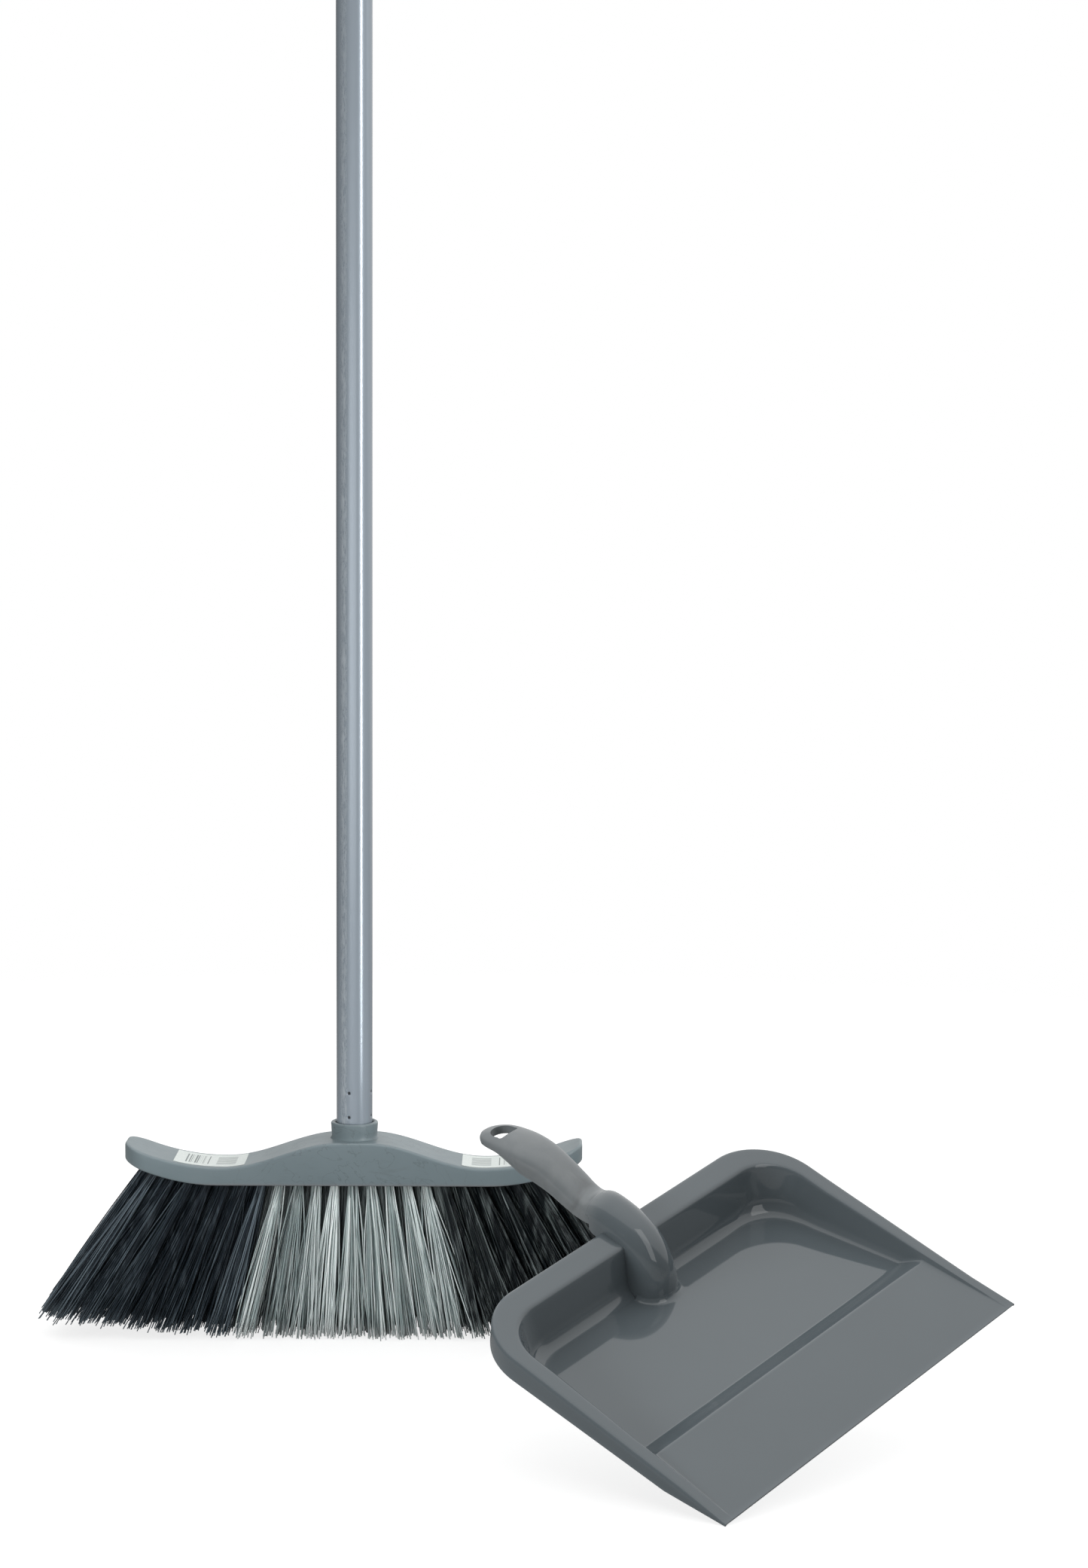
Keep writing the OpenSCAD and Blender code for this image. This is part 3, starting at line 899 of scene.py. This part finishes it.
def pan_section(outer, opening, floor):
    """One cut through the pan's edge, from the skirt's foot over the rim to the floor."""
    top, bottom = rim_z(outer[1]), skirt_z(outer[1])
    reach = np.linalg.norm(opening - outer)
    inwards = (opening - outer) / reach
    width = np.linalg.norm(floor - opening)
    down = (floor - opening) / max(width, 1e-6)
    r = min(OUTER_EDGE_R, 0.42 * (top - bottom))
    draft = SKIRT_DRAFT * min(1, (top - bottom) / SKIRT_DEPTH)
    points = []
    for share in (0, 0.33, 0.66):
        place = outer + inwards * draft * share
        points.append((*place, bottom + (top - r - bottom) * share))
    for turn in np.radians(np.linspace(0, 90, 7)):
        place = outer + inwards * (draft + r * (1 - math.cos(turn)))
        points.append((*place, rim_z(place[1]) - r * (1 - math.sin(turn))))
    wall_top, low = rim_z(opening[1]), floor_z(floor[1])
    height = wall_top - low
    inner_r = min(INNER_EDGE_R, 0.3 * height + 0.05)
    for d in np.linspace(draft + r, reach - inner_r, 6)[1:-1]:
        place = outer + inwards * d
        points.append((*place, rim_z(place[1])))
    foot = np.array([0.30 * width, low + 0.36 * height])
    steep = np.linspace((0, wall_top), foot, 9)
    cove = bezier([foot, (0.42 * width, low + 0.02 * height), (width, low)], 12)
    start = opening - inwards * inner_r
    turn_in = opening + down * steep[1][0]
    points += [tuple(p) for p in bezier([(*start, rim_z(start[1])), (*opening, wall_top),
                                         (*turn_in, steep[1][1])], 6)]
    for w, z in list(steep[2:]) + list(cove[1:]):
        points.append((*(opening + down * w), z))
    return points


def build_pan_shell():
    """The basin, its rim and its skirt as one skin, thickened downwards."""
    (outer, opening, floor), half_count = pan_paths()
    sections = [pan_section(*places) for places in zip(outer, opening, floor)]
    verts = [p for section in sections for p in section]
    faces = grid_faces(len(sections), len(sections[0]))
    start = len(verts)
    across = np.linspace(1, -1, REAR_STEPS + 1)
    for x, y in floor[:half_count]:
        verts += [(x * share, y, floor_z(y)) for share in across]
    faces += [tuple(reversed(f)) for f in grid_faces(half_count, REAR_STEPS + 1, start=start)]
    pan = make_piece("dustpan_moulding", verts, faces)
    if sum(p.normal.z * p.area for p in pan.data.polygons) < 0:
        pan.data.flip_normals()
    thicken(pan)
    for v in pan.data.vertices:
        v.co.z = max(v.co.z, 0)
    tidy_mesh(pan)
    return pan


def thicken(pan):
    """Gives the skin its wall, which thins out towards the lip."""
    group = pan.vertex_groups.new(name="wall")
    for v in pan.data.vertices:
        share = LIP_WALL_SHARE + (1 - LIP_WALL_SHARE) * smoothstep(v.co.y / MM / 14)
        group.add([v.index], float(share), "REPLACE")
    wall = pan.modifiers.new("wall", "SOLIDIFY")
    wall.thickness = PAN_WALL * MM
    wall.offset = -1
    wall.use_even_offset = True
    wall.vertex_group = "wall"
    apply_modifiers(pan)


def handle_section(half_width, dome, wall, shrink=0.0, bead=0.0, count=40):
    """Section of the handle: a dome over short side walls, closed flat underneath.

    The first number of each point is across, the second is down from the top line. A
    bead along the foot of each side wall stands out by the given amount.
    """
    fullness = 0.94
    half_width = half_width - shrink
    dome = max(dome - shrink, 0.3)
    points = []
    for turn in np.linspace(0, math.pi, count):
        c, s = math.cos(turn), math.sin(turn)
        x = half_width * math.copysign(abs(c) ** fullness, c)
        points.append((x, shrink + dome * (1 - abs(s) ** fullness)))
    bottom = shrink + dome + wall
    edge = min(0.5, 0.15 * wall)
    foot = [(half_width - edge, bottom), (half_width + bead, bottom - edge),
            (half_width + bead, bottom - 1.5 * edge), (half_width, bottom - 3 * edge)]
    points += [(-x, z) for x, z in reversed(foot)]
    points += [(x, bottom) for x in np.linspace(-0.7, 0.7, 5) * half_width]
    points += foot
    return np.array(points)


# Handle, from its foot in the basin to its end:
# y and z of the top line, half-width, height of the dome, height of the side walls
HANDLE = [
    (140.8, 1.2, 13.4, 12.6, 1.8), (141.1, 4.5, 13.4, 12.6, 6.0), (141.9, 10.5, 13.3, 12.5, 8.0),
    (143.8, 17.0, 13.2, 12.5, 7.4), (147.8, 25.5, 13.2, 12.5, 7.0), (154.0, 33.5, 13.2, 12.3, 7.0),
    (163.0, 40.0, 13.3, 12.0, 7.0), (174.0, 44.2, 13.4, 11.5, 7.0), (185.0, 46.4, 13.5, 10.8, 7.0),
    (191.0, 46.7, 13.4, 10.0, 6.0), (194.5, 46.0, 13.0, 9.0, 5.5), (197.5, 44.6, 12.3, 7.8, 4.8),
    (201.0, 43.9, 11.9, 6.9, 4.0), (206.0, 45.0, 12.0, 6.7, 3.5), (215.0, 48.9, 12.4, 6.6, 3.5),
    (228.0, 54.0, 12.8, 6.6, 5.5), (240.0, 56.3, 14.2, 6.6, 5.0), (252.0, 56.8, 14.5, 6.2, 1.6),
    (262.0, 55.8, 13.6, 5.0, 1.2), (270.0, 54.4, 12.6, 4.4, 1.2), (276.0, 52.6, 10.6, 3.8, 1.2),
    (280.0, 50.8, 7.4, 2.8, 1.0), (282.2, 49.0, 3.6, 1.4, 0.8)]
GRIP_HOLLOW = (197.5, 256.5)
GRIP_BEAD = 0.7


def spline(points, steps):
    """Smooth curve through all the points (Catmull-Rom), steps per gap."""
    points = np.asarray(points, float)
    padded = np.vstack([2 * points[0] - points[1], points, 2 * points[-1] - points[-2]])
    out = []
    for i in range(len(points) - 1):
        a, b, c, d = padded[i:i + 4]
        for t in np.arange(steps) / steps:
            out.append(0.5 * (2 * b + (c - a) * t + (2 * a - 5 * b + 4 * c - d) * t ** 2
                              + (3 * b - 3 * c + d - a) * t ** 3))
    out.append(points[-1])
    return np.array(out)


def handle_rings(shrink=0.0, extra=0.0, span=(0, 300)):
    """Cross rings of the handle; shrink and extra depth give the hollow underneath."""
    curve = spline(HANDLE, 5)
    curve = curve[(curve[:, 0] > span[0]) & (curve[:, 0] < span[1])]
    tangents = np.gradient(curve[:, :2], axis=0)
    tangents /= np.linalg.norm(tangents, axis=1, keepdims=True)
    rings = []
    for (y, z, width, dome, wall), tangent in zip(curve, tangents):
        down = np.array([tangent[1], -tangent[0]])
        bead = GRIP_BEAD * smoothstep((y - 204) / 8) * smoothstep((262 - y) / 10)
        section = handle_section(width, dome, wall + extra, shrink, 0 if shrink else bead)
        rings.append(np.column_stack([section[:, 0], y + down[0] * section[:, 1],
                                      z + down[1] * section[:, 1]]))
    return rings


def build_boss_fillet(radius=3.5, count=48):
    """The small flare where the handle's boss stands on the basin's floor."""
    y, _, half_width, dome, _ = HANDLE[0]
    turn = np.linspace(0, 2 * math.pi, count, endpoint=False)
    rings = []
    for lift in np.concatenate([[-90], np.linspace(0, 90, 7)]):
        out = radius * (1 - math.sin(math.radians(max(lift, 0)))) - 0.15
        z = FLOOR_Z - 1 if lift < 0 else FLOOR_Z + radius * (1 - math.cos(math.radians(lift)))
        back = np.minimum(y + dome + (dome + out) * np.sin(turn), y + dome + 1)
        rings.append(np.column_stack([(half_width + out) * np.cos(turn), back, np.full(count, z)]))
    return loft("boss_fillet", rings)


def build_dustpan():
    pan = build_pan_shell()
    combine(pan, loft("handle", handle_rings()), "UNION")
    combine(pan, build_boss_fillet(), "UNION")
    hollow = loft("hollow", handle_rings(shrink=1.9, extra=6.0, span=GRIP_HOLLOW))
    combine(pan, hollow, "DIFFERENCE")
    combine(pan, hang_hole_cutter(), "DIFFERENCE")
    tidy_mesh(pan, 36)
    mark_grip(pan)
    place = Matrix.Translation((PAN_CORNER[0] * MM, PAN_CORNER[1] * MM, 0)) \
        @ Matrix.Rotation(math.radians(PAN_TILT), 4, "X") \
        @ Matrix.Rotation(math.radians(PAN_YAW), 4, "Z") \
        @ Matrix.Translation((PAN_W / 2 * MM, 0, 0))
    pan.data.transform(place)
    return pan


def mark_grip(pan):
    """Stores on each point how far it belongs to the handle's grip, from 0 to 1."""
    backs = np.array([v.co.y for v in pan.data.vertices]) / MM
    store(pan.data, "grip", smoothstep((backs - PAN_LEN) / 16))


def hang_hole_cutter():
    """The hanging hole: round towards the handle's end, straight towards the pan."""
    r, centre_y, straight_y, corner = 6.8, 267.8, 263.2, 1.4
    outline = []
    for turn in np.radians(np.linspace(-20, 200, 36)):
        outline.append((r * math.cos(turn), centre_y + r * math.sin(turn)))
    for side, start in ((-1, 180), (1, 270)):
        for turn in np.radians(np.linspace(start, start + 90, 6)):
            outline.append((side * (r - corner - 0.1) + corner * math.cos(turn),
                            straight_y + corner + corner * math.sin(turn)))
    outline = np.array(outline)
    middle = np.array([0, centre_y])
    rings = []
    for z, grow in ((36, 1.0), (51.5, 1.0), (54.0, 1.05), (55.4, 1.16), (60, 1.6)):
        plan = middle + (outline - middle) * grow
        rings.append(np.column_stack([plan, np.full(len(plan), z)]))
    return loft("hang_hole", rings)


# ---------------- put the pieces together

broom_pieces = []
pan_pieces = []


def paint(piece, material):
    piece.data.materials.clear()
    piece.data.materials.append(material)


def add(piece, body, material, slot, *nodes):
    """Gives a finished piece its material and its body, and hides the CAD nodes it stands for."""
    (pan_pieces if body == "pan" else broom_pieces).append(piece)
    paint(piece, material)
    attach(piece, body)
    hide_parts(*nodes)


add(build_head(), "broom_head", head_plastic(), "head_plastic", "head_block")

black = bristle_material("bristle_black", BLACK)
black_grey_painted_highlight = bristle_material("bristle_black_grey_painted_highlight", BLACK_GREY_PAINTED_HIGHLIGHT)
silver = bristle_material("bristle_silver", SILVER)
silver_painted_shade = bristle_material("bristle_silver_painted_shade", SILVER_PAINTED_SHADE)

rng = np.random.default_rng(7)
for row in range(1, ROWS + 1):
    # the middle zone's inner rows get painted shade: a darker copy of the silver
    outside = row in (1, ROWS)
    # the right side's black tufts get paler strands, partly painted highlight
    for zone, node, slot, material in (
            ("left", "black_left", "black_bristle", black),
            ("silver", "silver", "silver_bristle", silver if outside else silver_painted_shade),
            ("right", "black_right", "black_bristle", black_grey_painted_highlight)):
        tufts = build_bristles(row, zone, rng)
        add(tufts, "broom_head", material, slot, f"bristles_{node}_row_{row}")

paper = label_paper()
add(build_label(-1), "broom_head", paper, "label_paper", "label_left")
add(build_label(1), "broom_head", paper, "label_paper", "label_right")
pole = build_pole()
add(pole, "pole", pole_paint(), "pole_paint", "pole_tube")
fitting = moulded_plastic("fitting_plastic", (0.045, 0.05, 0.052), roughness=0.4)
add(build_cap(), "pole", fitting, "fitting_plastic", "pole_hanging_cap")
pan_plastic = moulded_plastic("pan_plastic", (0.088, 0.105, 0.115), spread=0.04,
                              roughness=0.05, grain=0.05)
add(build_dustpan(), "pan", pan_plastic, "pan_plastic", "dustpan")

# CAD nodes that stay as they are and only get a material
wire = drawn_steel()
for row in range(1, ROWS + 1):
    paint(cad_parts[f"tuft_anchors_row_{row}"], wire)
paint(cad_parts["pole_thread_plug"], fitting)


# ---------------- floor, light, camera

# The room's light: a direction it is bright towards, and greys by the cosine to it
ROOM_BRIGHT_SIDE = (0.33, 0.42, 0.845)
ROOM_STOPS = [(0.0, 0.12), (0.36, 0.25), (0.46, 0.85), (0.9, 1.1)]


def floor_disc(radius=6.0):
    """A pale floor, clear from below, whose edge fades away into the white background."""
    bm = bmesh.new()
    bmesh.ops.create_circle(bm, cap_ends=True, segments=96, radius=radius)
    mesh = bpy.data.meshes.new("floor")
    bm.to_mesh(mesh)
    bm.free()
    disc = bpy.data.objects.new("floor", mesh)
    bpy.context.scene.collection.objects.link(disc)
    s = Shader("floor_pale")
    grain = s.noise(40.0, detail=2.0)
    pale = s.ramp(grain, [(0.3, (0.36, 0.365, 0.365)), (0.7, (0.38, 0.385, 0.385))])
    s.finish(pale, 0.8, Emission_Color=(1, 1, 1, 1), Emission_Strength=0.8)
    dark = s.node("BsdfDiffuse", Color=(0.5, 0.5, 0.5, 1)).outputs["BSDF"]
    is_camera = s.node("LightPath").outputs["Is Camera Ray"]
    seen = s.blend(is_camera, dark, s.bsdf.outputs["BSDF"])
    fade = s.range(s.vector("LENGTH", s.coords), 0.45, 1.5)
    fade = s.math("MAXIMUM", fade, s.node("NewGeometry").outputs["Backfacing"])
    clear = s.node("BsdfTransparent").outputs["BSDF"]
    s.put(s.tree.nodes["Material Output"].inputs["Surface"], s.blend(fade, seen, clear))
    mesh.materials.append(s.material)


def studio_world():
    """White to the camera; to everything else a dim room, bright high up at the back."""
    world = bpy.data.worlds.new("studio")
    bpy.context.scene.world = world
    world.use_nodes = True
    w = Nodes(world.node_tree)
    w.tree.nodes.clear()
    towards = w.vector("DOT_PRODUCT", w.node("TexCoord").outputs["Generated"], ROOM_BRIGHT_SIDE)
    stops = [((cosine + 1) / 2, grey) for cosine, grey in ROOM_STOPS]
    grey = w.ramp(w.range(towards, -1, 1), stops)
    room = w.node("Background", Color=grey).outputs["Background"]
    white = w.node("Background", Color=(1, 1, 1, 1)).outputs["Background"]
    is_camera = w.node("LightPath").outputs["Is Camera Ray"]
    w.node("OutputWorld", Surface=w.blend(is_camera, room, white))


def lit_group(name, pieces):
    """A set of pieces that a softbox can be limited to."""
    group = bpy.data.collections.new(name)
    for piece in pieces:
        group.objects.link(piece)
    return group


def softbox(name, place, aim, size, watts, group, mirrored=True):
    """A rectangular area light at a place, facing a point, both in metres.

    It lights one group of pieces, or all; unless mirrored, it makes no highlight.
    """
    light = bpy.data.lights.new(name, "AREA")
    light.shape = "RECTANGLE"
    light.size, light.size_y = size
    light.energy = watts
    obj = bpy.data.objects.new(name, light)
    obj.location = place
    direction = Vector(aim) - Vector(place)
    obj.rotation_euler = direction.to_track_quat("-Z", "Y").to_euler()
    obj.visible_glossy = mirrored
    obj.light_linking.receiver_collection = group
    bpy.context.scene.collection.objects.link(obj)


def studio_camera():
    """Looks along +Y from about 2 m away, pitched down a little, as a short telephoto."""
    place = (0.1085, -1.9177, 0.5047)
    pitch, turn, roll = 5.004, 0.207, 0.286
    data = bpy.data.cameras.new("camera")
    data.sensor_width = 36
    data.lens = 72.58
    data.clip_end = 50
    camera = bpy.data.objects.new("camera", data)
    camera.location = place
    aim = Matrix.Rotation(math.radians(-turn), 4, "Z") \
        @ Matrix.Rotation(math.radians(90 - pitch), 4, "X") \
        @ Matrix.Rotation(math.radians(roll), 4, "Z")
    camera.rotation_euler = aim.to_euler()
    bpy.context.scene.collection.objects.link(camera)
    bpy.context.scene.camera = camera


floor_disc()
studio_world()
broom_group = lit_group("broom_light", broom_pieces)
pole_group = lit_group("pole_light", [pole])
pan_group = lit_group("pan_light", pan_pieces)
softbox("broom_overhead", (0.1, -0.1, 2.6), (0, 0, 0), (2.0, 1.6), 14, broom_group)
softbox("broom_strip", (2.15, -1.93, 0.9), (0, 0, 0.6), (0.46, 2.6), 48, broom_group)
softbox("broom_fill", (-0.8, -2.8, 0.3), (0, 0, 0.2), (1.6, 1.0), 52, broom_group, mirrored=False)
softbox("pole_glow", (-0.45, -2.9, 0.35), (0, 0, 0.3), (2.6, 0.9), 8, pole_group)
softbox("pan_overhead", (0.3, 0.2, 2.2), (0.2, -0.3, 0), (2.0, 1.6), 14, pan_group, mirrored=False)
softbox("pan_left", (-1.9, -1.8, 0.5), (0.2, -0.3, 0), (1.6, 0.8), 46, pan_group, mirrored=False)
softbox("pan_front", (1.5, -1.9, 1.3), (0.25, -0.3, 0), (1.0, 2.6), 10, pan_group)
softbox("back_fill", (0.6, 3.0, 1.2), (0, 0, 0.3), (2.0, 2.0), 34, None, mirrored=False)
studio_camera()
bpy.context.scene.view_settings.view_transform = "Standard"
